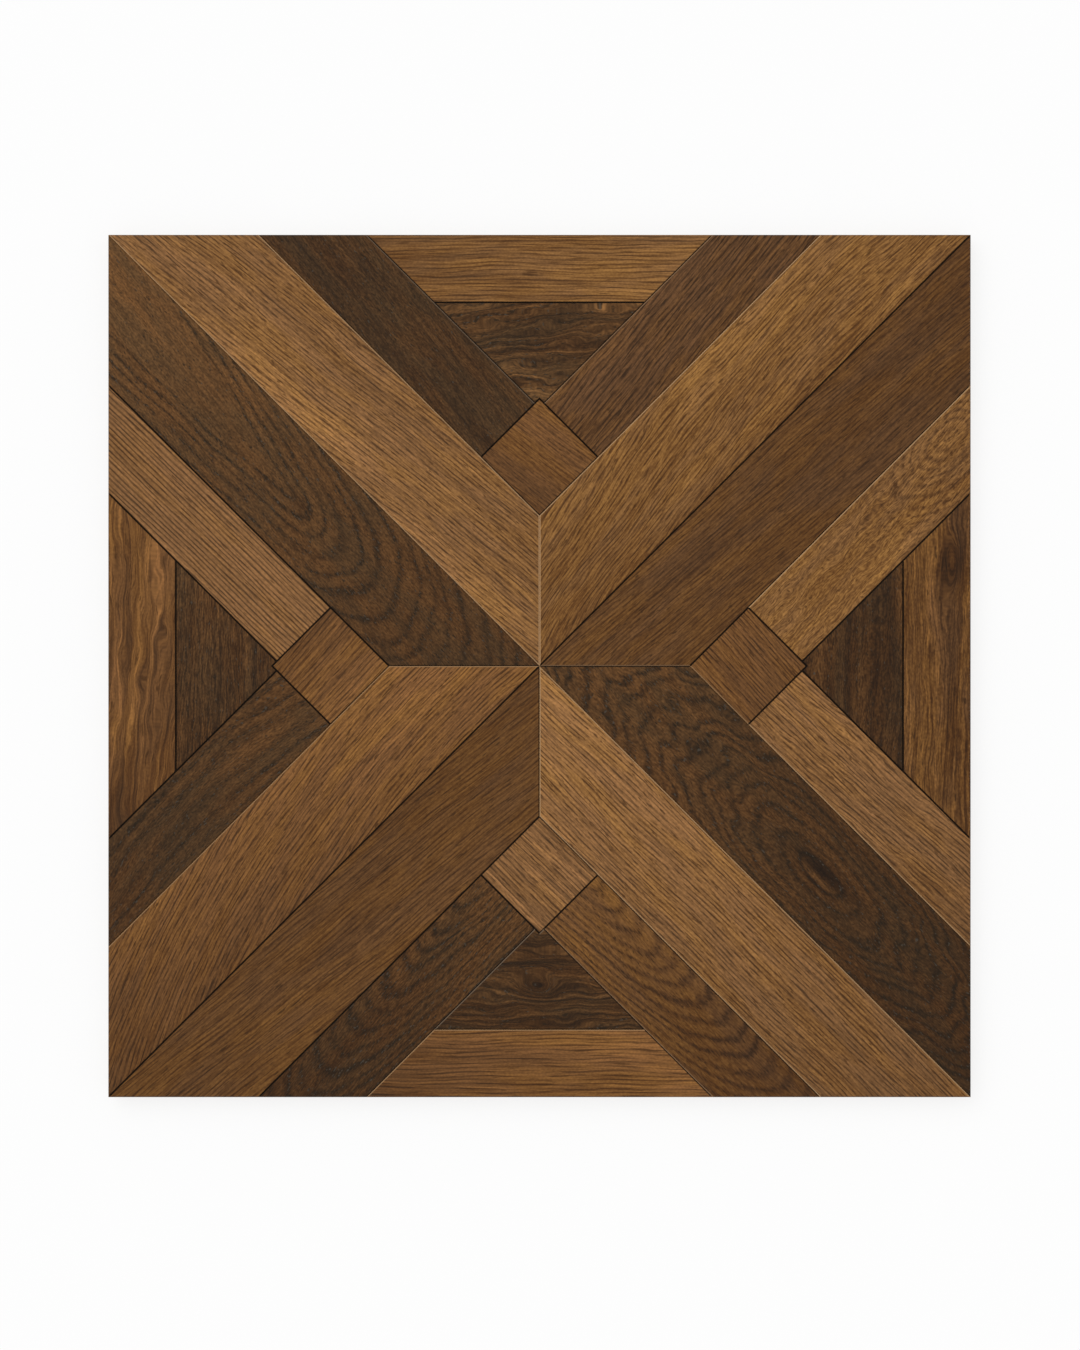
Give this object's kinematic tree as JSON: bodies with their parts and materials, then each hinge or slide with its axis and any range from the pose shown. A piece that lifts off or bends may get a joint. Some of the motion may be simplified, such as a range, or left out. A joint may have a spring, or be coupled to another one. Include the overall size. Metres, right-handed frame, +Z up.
{
  "type": "parquet panel",
  "caption": "Square parquet floor panel: two-tone oak slats in a diagonal-cross pattern with corner blocks, wedges and border strips, on a plywood carrier grooved for loose tongues.",
  "frame": {"origin": "centre of the underside, on the floor that the panel lies on", "axes": "+Z up out of the walking surface; +X to the east edge and +Y to the north edge, which are the picture's right and top"},
  "size_m": [0.6, 0.6, 0.015],
  "materials": {
    "honey_oak": "matt oil, brushed grain",
    "amber_oak": "matt oil, brushed grain",
    "chestnut_oak": "matt oil, brushed grain",
    "smoked_oak": "matt oil, brushed grain",
    "birch_plywood": "sanded, unfinished"
  },
  "bodies": {
    "root": {"east_arm_left": "chestnut_oak", "east_arm_right": "smoked_oak", "east_block": "amber_oak", "east_border": "chestnut_oak", "east_rail_left": "honey_oak", "east_rail_right": "honey_oak", "east_wedge": "smoked_oak", "north_arm_left": "honey_oak", "north_arm_right": "honey_oak", "north_block": "amber_oak", "north_border": "honey_oak", "north_rail_left": "smoked_oak", "north_rail_right": "chestnut_oak", "north_wedge": "smoked_oak", "plywood_carrier": "birch_plywood", "south_arm_left": "honey_oak", "south_arm_right": "chestnut_oak", "south_block": "honey_oak", "south_border": "amber_oak", "south_rail_left": "chestnut_oak", "south_rail_right": "smoked_oak", "south_wedge": "smoked_oak", "west_arm_left": "amber_oak", "west_arm_right": "smoked_oak", "west_block": "amber_oak", "west_border": "amber_oak", "west_rail_left": "smoked_oak", "west_rail_right": "honey_oak", "west_wedge": "smoked_oak"}
  },
  "joints": []
}
